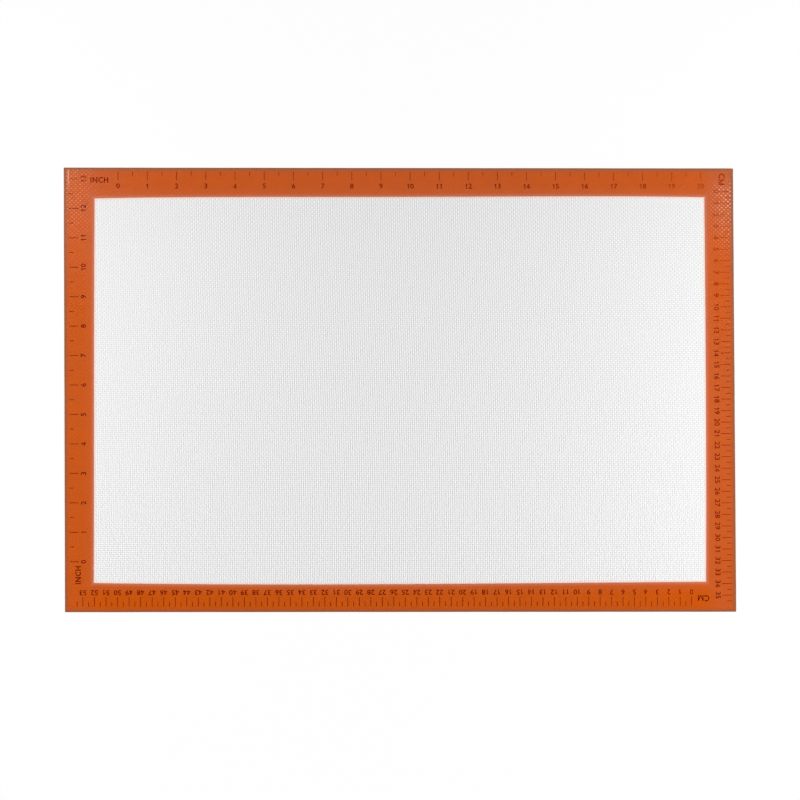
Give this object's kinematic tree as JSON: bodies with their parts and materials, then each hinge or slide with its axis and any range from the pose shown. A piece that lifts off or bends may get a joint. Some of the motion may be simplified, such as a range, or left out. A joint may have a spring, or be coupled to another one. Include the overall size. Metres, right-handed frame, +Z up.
{
  "type": "baking mat",
  "caption": "Flat rectangular silicone baking mat with a woven glass-fibre core, an orange border and inch and centimetre scales along its edges.",
  "frame": {"origin": "middle of the underside, on the worktop", "axes": "+Z up from the worktop, +X along the long side, +Y towards the edge with the long inch scale"},
  "size_m": [0.5836, 0.3834, 0.0008],
  "materials": {
    "clear_silicone": "satin",
    "border_silicone": "satin",
    "glass_cloth": "matte",
    "edge_silicone": "satin",
    "scale_ink": "satin"
  },
  "bodies": {
    "root": {"lower_coat": "clear_silicone", "lower_border": "border_silicone", "glass_cloth": "glass_cloth", "upper_coat": "clear_silicone", "upper_border": "border_silicone", "edge_seal": "edge_silicone"}
  },
  "joints": []
}
